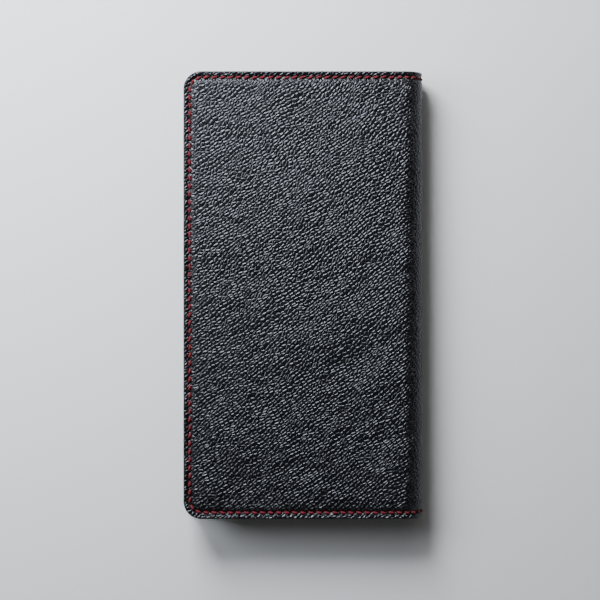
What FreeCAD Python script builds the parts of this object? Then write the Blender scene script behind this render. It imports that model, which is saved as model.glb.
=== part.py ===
"""A phone wallet case: a long bifold of leather, closed and lying on its rear cover.

The rear cover carries a gusseted phone pocket, the front cover a note pocket with four card strips.
The fold is a half-round spine in three segments, so that the covers open through four small hinges.
Units are millimetres. X runs from the opening edge to the spine, Y along the height, Z up.
"""

import FreeCAD, Part
import math
import os

import Sketcher

SIZES = {
    "cover_width": 100.9,  # closed, from the opening edge to the outside of the spine
    "cover_height": 188.0,
    "corner_radius": 7.45,  # the two corners at the opening edge
    "spine_radius": 8.45,  # outside of the half-round fold: half the closed thickness
    "leather_thickness": 1.2,
    "board_thickness": 0.5,
    "lining_thickness": 0.4,
    "margin_step": 0.5,  # how far the stitching margin is pressed in below the padded panel
    "margin_width": 3.2,
    "board_inset": 4.7,
    "gusset_depth": 8.2,
    "gusset_thickness": 0.8,
    "gusset_web_inset": 4.5,
    "pocket_thickness": 0.9,
    "pocket_reach": 88.8,  # from the opening edge to the mouth of the phone pocket
    "notch_radius": 11.0,
    "base_thickness": 0.6,
    "note_gap": 0.2,
    "base_reach": 90.6,
    "card_reach": 80.15,  # from the opening edge to the edge of the first card strip
    "card_step": 10.5,
    "strip_thickness": 0.5,
    "slip_depth": 44.0,  # how deep a card stands behind its strip
    "tab_depth": 12.0,  # the part of a strip that runs out into the seams
    "seam_inset": 2.6,
    "thread_width": 0.8,
    "thread_rise": 0.32,
    "stitch_length": 2.75,
    "stitch_pitch": 3.37,
    "segment_angle": 45.0,  # the arc of one spine segment, which is also its hinge's travel
    "segment_gap": 0.2,
}
CARD_STRIPS = 4
SPINE_SEGMENTS = 3
OVERSHOOT = 3.0  # how far a cutting outline runs past the material


class Size:
    """A length with its value and the sheet expression that gives it."""

    def __init__(self, value, text=None):
        self.value = value
        self.text = text or repr(value)

    @staticmethod
    def of(other):
        return other if isinstance(other, Size) else Size(other)

    def __add__(self, other):
        other = Size.of(other)
        return Size(self.value + other.value, f"({self.text} + {other.text})")

    def __sub__(self, other):
        other = Size.of(other)
        return Size(self.value - other.value, f"({self.text} - {other.text})")

    def __mul__(self, other):
        other = Size.of(other)
        return Size(self.value * other.value, f"({self.text} * {other.text})")

    def __truediv__(self, other):
        other = Size.of(other)
        return Size(self.value / other.value, f"({self.text} / {other.text})")

    def __neg__(self):
        return Size(-self.value, f"(0 - {self.text})")


FLUSH = Size(0.0)  # an outline drawn in by nothing


doc = FreeCAD.newDocument("PhoneWallet")


def make_sheet():
    sheet = doc.addObject("Spreadsheet::Sheet", "Sizes")
    for row, (name, value) in enumerate(SIZES.items(), start=1):
        sheet.set(f"A{row}", name)
        sheet.set(f"B{row}", str(value))
        sheet.setAlias(f"B{row}", name)
    doc.recompute()
    return {name: Size(float(sheet.get(name)), f"Sizes.{name}") for name in SIZES}


size = make_sheet()

# The local frame of every piece has its origin on the axis of the spine, at mid-height. The outer face
# of a cover lies one spine radius below that axis, and the cover runs from there towards -X.
half_height = size["cover_height"] / 2
flat_length = size["cover_width"] - size["spine_radius"]
outer_face = -size["spine_radius"]
leather_inside = size["leather_thickness"] + size["board_thickness"]
inner_face = leather_inside + size["lining_thickness"]
base_face = inner_face + size["note_gap"] + size["base_thickness"]
pocket_face = inner_face + size["gusset_depth"] + size["pocket_thickness"]
half_gap_degrees = size["segment_gap"] / size["spine_radius"] * (90 / math.pi)


def rear_placement():
    spine_axis = FreeCAD.Vector(
        size["cover_width"].value / 2 - size["spine_radius"].value, 0, size["spine_radius"].value
    )
    return FreeCAD.Placement(spine_axis, FreeCAD.Rotation())


def turned_placement(axis, degrees):
    return rear_placement().multiply(
        FreeCAD.Placement(FreeCAD.Vector(), FreeCAD.Rotation(axis, degrees))
    )


REAR = rear_placement()
FRONT = turned_placement(FreeCAD.Vector(1, 0, 0), 180)


def spine_placement(number):
    """Segments 1 to 3 follow the fold up from the rear cover, one segment angle apart."""
    return turned_placement(FreeCAD.Vector(0, -1, 0), number * size["segment_angle"].value)


# ---- sketch and feature helpers ----


def new_body(name, placement):
    body = doc.addObject("PartDesign::Body", name)
    body.Label = name
    body.Placement = placement
    return body


def origin_plane(body, role):
    return next(item for item in body.Origin.OriginFeatures if item.Role == role)


def new_sketch(body, name, role="XY_Plane", lift=None):
    sketch = body.newObject("Sketcher::SketchObject", f"{body.Name}_{name}")
    sketch.AttachmentSupport = [(origin_plane(body, role), "")]
    sketch.MapMode = "FlatFace"
    if lift is not None:
        sketch.setExpression("AttachmentOffset.Base.z", lift.text)
    return sketch


def dimension(sketch, kind, places, length):
    """Adds a driving dimension and binds it to the sheet."""
    index = sketch.addConstraint(Sketcher.Constraint(kind, *places, length.value))
    sketch.setExpression(f"Constraints[{index}]", length.text)


def locate(sketch, line, point, across, up):
    """Dimensions one point from the sketch's origin; a zero puts it on the axis."""
    for kind, axis, length in (("DistanceX", -2, across), ("DistanceY", -1, up)):
        if length is None:
            continue
        if abs(length.value) < 1e-9:
            sketch.addConstraint(Sketcher.Constraint("PointOnObject", line, point, axis))
        elif length.value > 0:
            dimension(sketch, kind, (-1, 1, line, point), length)
        else:
            dimension(sketch, kind, (line, point, -1, 1), -length)


def draw_polygon(sketch, corners):
    """A closed outline of straight lines, with every corner dimensioned."""
    points = [FreeCAD.Vector(across.value, up.value, 0) for across, up in corners]
    count = len(points)
    first = sketch.GeometryCount
    for index in range(count):
        sketch.addGeometry(Part.LineSegment(points[index], points[(index + 1) % count]), False)
    for index in range(count):
        following = first + (index + 1) % count
        sketch.addConstraint(Sketcher.Constraint("Coincident", first + index, 2, following, 1))
    for index, (across, up) in enumerate(corners):
        locate(sketch, first + index, 1, across, up)


def draw_cover_outline(sketch, inset=FLUSH, right=FLUSH):
    """The cover's outline drawn in by inset, with its two round corners, cut off straight at right."""
    left = -(flat_length - inset)
    top = half_height - inset
    radius = size["corner_radius"] - inset
    low, high, r, x_end = -top.value, top.value, radius.value, right.value
    centre_x = left.value + r
    first = sketch.GeometryCount
    up_axis = FreeCAD.Vector(0, 0, 1)
    low_circle = Part.Circle(FreeCAD.Vector(centre_x, low + r, 0), up_axis, r)
    high_circle = Part.Circle(FreeCAD.Vector(centre_x, high - r, 0), up_axis, r)
    shapes = [
        Part.LineSegment(FreeCAD.Vector(x_end, low, 0), FreeCAD.Vector(centre_x, low, 0)),
        Part.ArcOfCircle(low_circle, math.pi, 1.5 * math.pi),
        Part.LineSegment(FreeCAD.Vector(left.value, low + r, 0), FreeCAD.Vector(left.value, high - r, 0)),
        Part.ArcOfCircle(high_circle, 0.5 * math.pi, math.pi),
        Part.LineSegment(FreeCAD.Vector(centre_x, high, 0), FreeCAD.Vector(x_end, high, 0)),
        Part.LineSegment(FreeCAD.Vector(x_end, high, 0), FreeCAD.Vector(x_end, low, 0)),
    ]
    for shape in shapes:
        sketch.addGeometry(shape, False)
    bottom_line, low_arc, left_line, high_arc, top_line, right_line = range(first, first + 6)
    relations = [
        ("Tangent", bottom_line, 2, low_arc, 2),
        ("Tangent", low_arc, 1, left_line, 1),
        ("Tangent", left_line, 2, high_arc, 2),
        ("Tangent", high_arc, 1, top_line, 1),
        ("Coincident", top_line, 2, right_line, 1),
        ("Coincident", right_line, 2, bottom_line, 1),
        ("Horizontal", bottom_line),
        ("Horizontal", top_line),
        ("Vertical", left_line),
        ("Vertical", right_line),
        ("Equal", low_arc, high_arc),
    ]
    for relation in relations:
        sketch.addConstraint(Sketcher.Constraint(*relation))
    dimension(sketch, "Radius", (low_arc,), radius)
    locate(sketch, top_line, 2, right, top)
    locate(sketch, bottom_line, 1, None, -top)
    locate(sketch, left_line, 1, left, None)


def add_pad(body, sketch, length):
    pad = body.newObject("PartDesign::Pad", f"{sketch.Name}_pad")
    pad.Profile = sketch
    pad.setExpression("Length", length.text)
    return pad


def add_pocket(body, sketch, depth, upwards=False):
    """Cuts the sketch downwards, or upwards, and checks that it took material away."""
    doc.recompute()
    before = body.Shape.Volume
    pocket = body.newObject("PartDesign::Pocket", f"{sketch.Name}_pocket")
    pocket.Profile = sketch
    pocket.Reversed = upwards
    pocket.setExpression("Length", depth.text)
    doc.recompute()
    if body.Shape.Volume >= before - 1e-6:
        raise RuntimeError(f"{pocket.Name} cut nothing")
    return pocket


def add_turn(body, sketch, degrees, both_ways=False):
    """Turns a profile about the spine axis, up and round from the underside."""
    turn = body.newObject("PartDesign::Revolution", f"{sketch.Name}_turn")
    turn.Profile = sketch
    turn.ReferenceAxis = (sketch, ["H_Axis"])
    turn.Reversed = not both_ways
    turn.Midplane = both_ways
    turn.setExpression("Angle", degrees.text)
    return turn


def cover_turn():
    return size["segment_angle"] / 2 - half_gap_degrees


def segment_turn():
    return size["segment_angle"] - half_gap_degrees * 2


# ---- profiles across the height, shared by the covers and the spine ----


def leather_profile():
    """Section of the outer leather: its two margins pressed in, its back recessed for the board."""
    edge = half_height
    ledge = half_height - size["margin_width"]
    panel = half_height - size["board_inset"]
    pressed = outer_face + size["margin_step"]
    recess = outer_face + size["leather_thickness"]
    back = outer_face + leather_inside
    upper = [(panel, outer_face), (ledge, pressed), (edge, pressed), (edge, back), (panel, back)]
    upper.append((panel, recess))
    lower = [(-across, up) for across, up in reversed(upper)]
    return upper + lower


def band_profile(half_length, depth, thickness):
    low = outer_face + depth
    high = low + thickness
    return [(half_length, low), (half_length, high), (-half_length, high), (-half_length, low)]


def strip_profile():
    length = half_height - size["board_inset"]
    return band_profile(length, size["leather_thickness"], size["board_thickness"])


def lining_profile():
    return band_profile(half_height, leather_inside, size["lining_thickness"])


# ---- the covers ----


def make_outer_leather(name, placement):
    """The formed leather of one cover, with the quarter of the fold's first segment that it carries."""
    body = new_body(name, placement)
    ledge_sketch = new_sketch(body, "ledge", lift=outer_face + size["margin_step"])
    draw_cover_outline(ledge_sketch)
    add_pad(body, ledge_sketch, size["leather_thickness"])
    panel_foot = new_sketch(body, "panel_foot", lift=outer_face + size["margin_step"])
    draw_cover_outline(panel_foot, size["margin_width"])
    panel_top = new_sketch(body, "panel_top", lift=outer_face)
    draw_cover_outline(panel_top, size["board_inset"])
    panel = body.newObject("PartDesign::AdditiveLoft", f"{name}_panel")
    panel.Profile = panel_foot
    panel.Sections = [panel_top]
    panel.Ruled = True
    recess = new_sketch(body, "recess", lift=outer_face + leather_inside)
    draw_cover_outline(recess, size["board_inset"])
    add_pocket(body, recess, size["board_thickness"])
    bend = new_sketch(body, "bend", "YZ_Plane")
    draw_polygon(bend, leather_profile())
    add_turn(body, bend, cover_turn())


def make_board(name, placement):
    body = new_body(name, placement)
    sketch = new_sketch(body, "outline", lift=outer_face + size["leather_thickness"])
    draw_cover_outline(sketch, size["board_inset"])
    add_pad(body, sketch, size["board_thickness"])


def make_lining(name, placement):
    body = new_body(name, placement)
    sketch = new_sketch(body, "outline", lift=outer_face + leather_inside)
    draw_cover_outline(sketch)
    add_pad(body, sketch, size["lining_thickness"])
    bend = new_sketch(body, "bend", "YZ_Plane")
    draw_polygon(bend, lining_profile())
    add_turn(body, bend, cover_turn())


def make_bend(name, placement, profile, degrees, both_ways):
    """A piece that lies only on the half-round fold."""
    body = new_body(name, placement)
    sketch = new_sketch(body, "section", "YZ_Plane")
    draw_polygon(sketch, profile)
    add_turn(body, sketch, degrees, both_ways)


def make_spine():
    for number in range(1, SPINE_SEGMENTS + 1):
        place = spine_placement(number)
        make_bend(f"spine_leather_{number}", place, leather_profile(), segment_turn(), True)
        make_bend(f"spine_lining_{number}", place, lining_profile(), segment_turn(), True)
        make_bend(f"spine_reinforcement_{number}", place, strip_profile(), segment_turn(), True)
    make_bend("rear_spine_reinforcement", REAR, strip_profile(), cover_turn(), False)
    make_bend("front_spine_reinforcement", FRONT, strip_profile(), cover_turn(), False)


# ---- the phone pocket on the rear cover ----


def make_gusset():
    """A channel-shaped strip round three sides: a flange on the cover, a web and a flange for the panel."""
    body = new_body("phone_gusset", REAR)
    right = -(flat_length - size["pocket_reach"])
    past = right + OVERSHOOT / 2
    foot = outer_face + inner_face
    block = new_sketch(body, "block", lift=foot)
    draw_cover_outline(block, FLUSH, right)
    add_pad(body, block, size["gusset_depth"])
    hollow = new_sketch(body, "hollow", lift=foot + size["gusset_depth"])
    draw_cover_outline(hollow, size["gusset_web_inset"] + size["gusset_thickness"], past)
    add_pocket(body, hollow, size["gusset_depth"])
    channel = new_sketch(body, "channel", lift=foot + size["gusset_thickness"])
    draw_cover_outline(channel, size["gusset_web_inset"], past)
    low_x, high_x = -(flat_length + OVERSHOOT), right + OVERSHOOT
    high_y = half_height + OVERSHOOT
    draw_polygon(channel, [(high_x, -high_y), (high_x, high_y), (low_x, high_y), (low_x, -high_y)])
    add_pocket(body, channel, size["gusset_depth"] - size["gusset_thickness"] * 2, upwards=True)


def make_pocket_panel():
    """The panel over the phone, with a thumb notch in the middle of its free edge."""
    body = new_body("phone_pocket_panel", REAR)
    right = -(flat_length - size["pocket_reach"])
    face = outer_face + pocket_face
    outline = new_sketch(body, "outline", lift=face - size["pocket_thickness"])
    draw_cover_outline(outline, FLUSH, right)
    add_pad(body, outline, size["pocket_thickness"])
    notch = new_sketch(body, "notch", lift=face)
    centre = FreeCAD.Vector(right.value, 0, 0)
    circle = Part.Circle(centre, FreeCAD.Vector(0, 0, 1), size["notch_radius"].value)
    notch.addGeometry(circle, False)
    dimension(notch, "Radius", (0,), size["notch_radius"])
    locate(notch, 0, 3, right, FLUSH)
    add_pocket(body, notch, size["pocket_thickness"])


# ---- the card side on the front cover ----


def strip_reach(number):
    return size["card_reach"] - size["card_step"] * (number - 1)


def strip_depth(number):
    return base_face + size["strip_thickness"] * (number - 1)


def make_card_base():
    """Sewn down on three sides, so that notes slip in behind it from the spine side."""
    body = new_body("card_base_panel", FRONT)
    sketch = new_sketch(body, "outline", lift=outer_face + inner_face + size["note_gap"])
    draw_cover_outline(sketch, FLUSH, -(flat_length - size["base_reach"]))
    add_pad(body, sketch, size["base_thickness"])


def make_card_strip(number):
    """A T-shaped strip: its tab runs out into both seams, its narrower body ends where the cards stand."""
    body = new_body(f"card_strip_{number}", FRONT)
    sketch = new_sketch(body, "outline", lift=outer_face + strip_depth(number))
    right = -(flat_length - strip_reach(number))
    if number == CARD_STRIPS:
        draw_cover_outline(sketch, FLUSH, right)
    else:
        shoulder = right - size["tab_depth"]
        foot = right - size["slip_depth"]
        waist = half_height - size["board_inset"]
        upper = [(right, half_height), (shoulder, half_height), (shoulder, waist), (foot, waist)]
        lower = [(across, -up) for across, up in reversed(upper)]
        draw_polygon(sketch, upper + lower)
    add_pad(body, sketch, size["strip_thickness"])


# ---- threads: each seam is a row of separate stitches ----


def stitch_section(width, rise):
    """The half-round section of a stitch, flat side down on the leather, in the YZ plane."""
    left = FreeCAD.Vector(0, -width / 2, 0)
    top = FreeCAD.Vector(0, 0, rise)
    right = FreeCAD.Vector(0, width / 2, 0)
    return Part.Face(Part.Wire([Part.Arc(left, top, right).toShape(), Part.makeLine(right, left)]))


SECTION = stitch_section(size["thread_width"].value, size["thread_rise"].value)
STITCH = SECTION.extrude(FreeCAD.Vector(size["stitch_length"].value, 0, 0))
STITCH.translate(FreeCAD.Vector(-size["stitch_length"].value / 2, 0, 0))


def straight_stitch(at, along, up):
    """One stitch centred at a point, running along one direction and standing up in another."""
    side = up.cross(along)
    columns = FreeCAD.Matrix(
        along.x, side.x, up.x, at.x, along.y, side.y, up.y, at.y, along.z, side.z, up.z, at.z
    )
    return STITCH.transformed(columns)


def bent_stitch(radius, across, degrees, outward):
    """One stitch that follows the fold, centred at an angle up from the underside."""
    section = SECTION.copy()
    if outward:
        section.rotate(FreeCAD.Vector(), FreeCAD.Vector(0, 1, 0), 180)
    section.translate(FreeCAD.Vector(0, across, -radius))
    turn_axis = FreeCAD.Vector(0, -1, 0)
    length = (size["segment_angle"] / 2 * size["stitch_length"] / size["stitch_pitch"]).value
    section.rotate(FreeCAD.Vector(), turn_axis, degrees - length / 2)
    return section.revolve(FreeCAD.Vector(), turn_axis, length)


def seam_stations(right, pitch):
    """Places and directions of the stitches round three sides of a cover, from low right to high right."""
    inset = size["seam_inset"].value
    radius = size["corner_radius"].value - inset
    left = -flat_length.value + inset
    top = half_height.value - inset
    run = right - left - radius
    corner = radius * math.pi / 2
    side = 2 * (top - radius)
    total = 2 * run + 2 * corner + side
    count = round(total / pitch)
    for index in range(count):
        along = (index + 0.5) * total / count
        mirrored = along > total / 2
        place = total - along if mirrored else along
        if place < run:
            x, y, angle = right - place, -top, math.pi
        elif place < run + corner:
            angle = math.pi - (place - run) / radius
            x = left + radius + radius * math.sin(angle + math.pi)
            y = -top + radius + radius * math.cos(angle)
        else:
            x, y, angle = left, -top + radius + place - run - corner, math.pi / 2
        if mirrored:
            y, angle = -y, math.pi - angle
        yield FreeCAD.Vector(x, y, 0), FreeCAD.Vector(math.cos(angle), math.sin(angle), 0)


def seam(right, levels):
    """Stitches round three sides, for each level: a rule for its depth at a place, and which way is up."""
    stitches = []
    for at, along in seam_stations(right, size["stitch_pitch"].value):
        for level, up in levels:
            half = abs(along.x) * size["stitch_length"].value / 2
            place = FreeCAD.Vector(at.x, at.y, outer_face.value + level(at.x - half))
            stitches.append(straight_stitch(place, along, FreeCAD.Vector(0, 0, up)))
    return stitches


def fold_stitches(angles):
    """The stitches round the fold at both ends of the spine, outside and inside."""
    across = half_height.value - size["seam_inset"].value
    outside = size["spine_radius"].value - size["margin_step"].value
    inside = size["spine_radius"].value - inner_face.value
    stitches = []
    for degrees in angles:
        for sign in (-1, 1):
            stitches.append(bent_stitch(outside, sign * across, degrees, True))
            stitches.append(bent_stitch(inside, sign * across, degrees, False))
    return stitches


def ledge_level(low_x):
    return size["margin_step"].value


def panel_level(low_x):
    return pocket_face.value


def flange_level(low_x):
    """Depth of the underside of the gusset's flange, where it meets the pocket panel."""
    return (inner_face + size["gusset_depth"] - size["gusset_thickness"]).value


def card_level(low_x):
    """Depth of the innermost card piece under a stitch that starts at low_x on the front cover."""
    for number in range(CARD_STRIPS, 0, -1):
        if low_x < strip_reach(number).value - flat_length.value:
            return (strip_depth(number) + size["strip_thickness"]).value
    on_base = low_x < size["base_reach"].value - flat_length.value
    return base_face.value if on_base else inner_face.value


def gusset_level(low_x):
    """Depth of the gusset's flange, or of the lining past the pocket's mouth."""
    on_gusset = low_x < size["pocket_reach"].value - flat_length.value
    return (inner_face + size["gusset_thickness"]).value if on_gusset else inner_face.value


def make_thread(name, stitches, placement):
    thread = doc.addObject("Part::Feature", name)
    thread.Label = name
    thread.Shape = Part.makeCompound(stitches)
    thread.Placement = placement


def make_threads():
    quarter = size["segment_angle"].value / 4
    outside = (ledge_level, -1)
    rear = seam(0, [outside, (gusset_level, 1)]) + fold_stitches([quarter])
    make_thread("rear_seam_thread", rear, REAR)
    front = seam(0, [outside, (card_level, 1)]) + fold_stitches([quarter])
    make_thread("front_seam_thread", front, FRONT)
    for number in range(1, SPINE_SEGMENTS + 1):
        make_thread(f"spine_thread_{number}", fold_stitches([-quarter, quarter]), spine_placement(number))
    mouth = size["pocket_reach"].value - flat_length.value
    make_thread("phone_pocket_thread", seam(mouth, [(panel_level, 1), (flange_level, -1)]), REAR)
    make_thread("card_divider_thread", divider_stitches(), FRONT)


def divider_stitches():
    """One row across all card strips at mid-height, which parts them into two columns."""
    pitch = size["stitch_pitch"].value
    half = size["stitch_length"].value / 2
    start = size["board_inset"].value - flat_length.value + half
    stop = size["card_reach"].value + pitch - flat_length.value
    along = FreeCAD.Vector(1, 0, 0)
    stitches = []
    for index in range(int((stop - start) / pitch) + 1):
        x = start + index * pitch
        depth = card_level(x - half)
        place = FreeCAD.Vector(x, 0, outer_face.value + depth)
        stitches.append(straight_stitch(place, along, FreeCAD.Vector(0, 0, 1)))
    return stitches


def make_wallet():
    make_outer_leather("rear_outer_leather", REAR)
    make_board("rear_board", REAR)
    make_lining("rear_lining", REAR)
    make_gusset()
    make_pocket_panel()
    make_outer_leather("front_outer_leather", FRONT)
    make_board("front_board", FRONT)
    make_lining("front_lining", FRONT)
    make_card_base()
    for number in range(1, CARD_STRIPS + 1):
        make_card_strip(number)
    make_spine()
    make_threads()


def sub_parts():
    return [item for item in doc.Objects if item.TypeId in ("PartDesign::Body", "Part::Feature")]


def check_and_write():
    doc.recompute()
    for item in doc.Objects:
        if "Invalid" in item.State or "Error" in item.State:
            raise RuntimeError(f"{item.Label} failed: {item.State}")
    os.makedirs("parts", exist_ok=True)
    for item in sub_parts():
        if item.Shape.isNull() or not item.Shape.isValid():
            raise RuntimeError(f"{item.Label} has no valid shape")
        item.Shape.exportStep(os.path.join("parts", f"{item.Label}.step"))


make_wallet()
check_and_write()
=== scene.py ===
"""A phone wallet case: the leather, linings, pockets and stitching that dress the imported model.

Lengths are metres. X runs from the opening edge to the spine, Y along the height and Z up. A point of
the hide is told by its run, the way over the leather from the rear cover's opening edge round the spine
to the front cover's, by its place along the height, and by its depth under the outer face.
"""

import math

import bmesh
import bpy
import numpy as np
from bpy.props import FloatProperty, FloatVectorProperty, PointerProperty
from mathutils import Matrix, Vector


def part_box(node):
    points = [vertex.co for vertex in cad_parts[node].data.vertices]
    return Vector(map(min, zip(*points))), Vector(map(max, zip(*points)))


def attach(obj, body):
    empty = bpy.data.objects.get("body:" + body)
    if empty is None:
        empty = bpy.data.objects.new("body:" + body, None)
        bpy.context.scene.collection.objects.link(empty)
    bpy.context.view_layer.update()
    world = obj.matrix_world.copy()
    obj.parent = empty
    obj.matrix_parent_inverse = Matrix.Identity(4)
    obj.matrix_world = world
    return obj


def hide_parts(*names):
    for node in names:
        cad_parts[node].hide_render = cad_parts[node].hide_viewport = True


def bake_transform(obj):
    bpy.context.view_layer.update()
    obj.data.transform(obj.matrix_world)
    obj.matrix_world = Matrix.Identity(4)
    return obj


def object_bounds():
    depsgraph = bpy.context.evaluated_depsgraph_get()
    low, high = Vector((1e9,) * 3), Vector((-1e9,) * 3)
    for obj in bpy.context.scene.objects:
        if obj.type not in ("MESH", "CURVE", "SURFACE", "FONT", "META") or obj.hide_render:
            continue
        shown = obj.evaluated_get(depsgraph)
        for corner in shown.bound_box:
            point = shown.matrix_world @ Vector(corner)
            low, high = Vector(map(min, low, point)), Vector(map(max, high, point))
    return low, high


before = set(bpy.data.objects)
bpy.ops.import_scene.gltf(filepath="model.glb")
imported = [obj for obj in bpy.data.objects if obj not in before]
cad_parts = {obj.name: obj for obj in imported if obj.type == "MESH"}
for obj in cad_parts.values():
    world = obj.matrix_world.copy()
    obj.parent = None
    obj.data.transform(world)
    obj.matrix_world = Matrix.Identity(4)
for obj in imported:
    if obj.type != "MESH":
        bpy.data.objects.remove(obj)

bl_info = {
    "name": "Phone wallet case",
    "version": (1, 0, 0),
    "blender": (4, 5, 0),
    "location": "View3D > Sidebar > Wallet",
    "description": "Leather, linings, pockets and saddle stitching for a long bifold wallet",
    "category": "Add Mesh",
}

MM = 0.001
BODIES = ("rear_cover", "spine_1", "spine_2", "spine_3", "front_cover")
SEGMENTS = len(BODIES) - 1
CARD_STRIPS = 4

# ---- sizes read from the frame ----

LOW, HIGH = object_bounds()
HALF_WIDTH = HIGH.x
HALF_HEIGHT = HIGH.y
SPINE_RADIUS = (HIGH.z - LOW.z) / 2
FLAT = 2 * HALF_WIDTH - SPINE_RADIUS  # from the opening edge to where the fold starts
ARC = math.pi * SPINE_RADIUS
WHOLE = 2 * FLAT + ARC
SPINE_X = HALF_WIDTH - SPINE_RADIUS

LEATHER_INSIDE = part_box("rear_board")[1].z  # the outer leather with the board behind it
BOARD_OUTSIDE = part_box("rear_board")[0].z
INNER_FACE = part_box("phone_gusset")[0].z
BOARD_INSET = HALF_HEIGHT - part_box("rear_board")[1].y
GUSSET_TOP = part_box("phone_gusset")[1].z
POCKET_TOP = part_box("phone_pocket_panel")[1].z
POCKET_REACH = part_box("phone_pocket_panel")[1].x + HALF_WIDTH
BASE_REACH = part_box("card_base_panel")[1].x + HALF_WIDTH
BASE_DEPTH = HIGH.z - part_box("card_base_panel")[1].z
CARD_FACE = HIGH.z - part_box("card_base_panel")[0].z
STRIP_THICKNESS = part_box("card_strip_1")[1].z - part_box("card_strip_1")[0].z
STRIP_REACH = [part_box(f"card_strip_{n + 1}")[1].x + HALF_WIDTH for n in range(CARD_STRIPS)]
STRIP_FOOT = [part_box(f"card_strip_{n + 1}")[0].x + HALF_WIDTH for n in range(CARD_STRIPS)]
TAB_DEPTH = 12 * MM  # of a card slip's full-height top, above its T cut
NOTCH_RADIUS = 11 * MM
GUSSET_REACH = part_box("phone_gusset")[1].x + HALF_WIDTH
GUSSET_LEATHER = 0.8 * MM  # thickness
GUSSET_WALL = 4.9 * MM  # inset of the gusset's upright wall

# ---- looks and studio ----

SHEEN_TINT = (0.91, 0.93, 1.0, 1.0)  # the hide's slightly cool shine
PLY_SHADES = 2600.0  # painted shade lines between the thread's plies, to the metre
VIEW_CENTRE = (-1.5 * MM, -2.06 * MM)
FLOOR_SIDE = 3.6
FLOOR_CELLS = 72
WHITE = (1.0, 1.0, 1.0)
DAYLIGHT = (0.88, 0.925, 1.0)
LAMPS = (  # name, place, target, size, watts, colour
    ("top_lamp", (-0.20, 0.41, 0.31), (-0.01, 0.02, 0.0), (0.26, 0.26), 10.2, DAYLIGHT),
    ("left_lamp", (-0.44, 0.14, 0.31), (-0.01, 0.02, 0.0), (0.26, 0.26), 2.8, DAYLIGHT),
    ("fill_lamp", (0.1, 0.98, 0.42), (0, 0, 0), (0.7, 0.5), 3.0, (1.0, 0.98, 0.96)),
    ("low_lamp", (0.36, -0.83, 0.26), (0, 0, 0), (0.8, 0.3), 0.7, WHITE),
)
FAR_LAMPS = ((1, 0, 3.5), (-1, 0, 7.0), (0, 1, 7.0), (0, -1, 7.0))  # direction and watts


class WalletLeather(bpy.types.PropertyGroup):
    """Sizes and colours of the leather."""

    corner_radius: FloatProperty(
        name="Corner radius",
        description="Radius of the two corners at the opening edge",
        default=7.45 * MM,
        unit="LENGTH",
        precision=5,
    )
    seam_inset: FloatProperty(
        name="Seam inset",
        description="Distance of the stitching from the edge",
        default=2.6 * MM,
        unit="LENGTH",
        precision=5,
    )
    margin_step: FloatProperty(
        name="Margin step",
        description="How far the stitched margin is pressed below the padded panel",
        default=0.55 * MM,
        unit="LENGTH",
        precision=5,
    )
    groove: FloatProperty(
        name="Groove",
        description="Depth of the groove that the thread lies in",
        default=0.3 * MM,
        unit="LENGTH",
        precision=5,
    )
    edge_radius: FloatProperty(
        name="Edge radius",
        description="Rounding of the burnished edge",
        default=0.45 * MM,
        unit="LENGTH",
        precision=5,
    )
    hide_colour: FloatVectorProperty(
        name="Hide colour",
        description="Colour of the dyed hide",
        subtype="COLOR",
        size=3,
        default=(0.0018, 0.0018, 0.0025),
    )
    lining_colour: FloatVectorProperty(
        name="Lining colour",
        description="Colour of the smooth lining leather",
        subtype="COLOR",
        size=3,
        default=(0.012, 0.0115, 0.012),
    )
    pocket_colour: FloatVectorProperty(
        name="Pocket colour",
        description="Colour of the pocket and card slip leather",
        subtype="COLOR",
        size=3,
        default=(0.006, 0.006, 0.0066),
    )
    edge_colour: FloatVectorProperty(
        name="Edge colour",
        description="Colour of the edge paint",
        subtype="COLOR",
        size=3,
        default=(0.004, 0.004, 0.0045),
    )


class WalletStitching(bpy.types.PropertyGroup):
    """Sizes and colour of the saddle stitching."""

    thread: FloatProperty(
        name="Thread",
        description="Diameter of the waxed thread",
        default=1.06 * MM,
        unit="LENGTH",
        precision=5,
    )
    slant: FloatProperty(
        name="Slant",
        description="Angle of a stitch to its seam",
        default=math.radians(9),
        subtype="ANGLE",
    )
    thread_colour: FloatVectorProperty(
        name="Thread colour",
        description="Colour of the waxed thread",
        subtype="COLOR",
        size=3,
        default=(0.14, 0.006, 0.011),
    )


class WalletStudio(bpy.types.PropertyGroup):
    """The floor, lamps and camera."""

    camera_height: FloatProperty(
        name="Camera height",
        description="Distance of the camera above the front cover",
        default=0.68,
        unit="LENGTH",
    )
    view_width: FloatProperty(
        name="View width",
        description="Width in view at the front cover",
        default=0.2517,
        unit="LENGTH",
    )


def leather():
    return bpy.context.scene.wallet_leather


def stitching():
    return bpy.context.scene.wallet_stitching


# ---- the shape of the hide ----


def smooth(low, high, value):
    """0 up to low, 1 from high, and a smooth rise between them."""
    t = np.clip((value - low) / (high - low), 0, 1)
    return t * t * (3 - 2 * t)


def dome(centre, width, value):
    return np.exp(-(((value - centre) / width) ** 2))


def section(run, depth):
    """X and Z of a point by its run over the hide and its depth under the outer face."""
    angle = np.clip(run - FLAT, 0, ARC) / SPINE_RADIUS
    reach = SPINE_RADIUS - depth
    x = SPINE_X + reach * np.sin(angle)
    z = SPINE_RADIUS - reach * np.cos(angle)
    x = x + np.minimum(run - FLAT, 0) - np.maximum(run - FLAT - ARC, 0)
    return x, z


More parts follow.
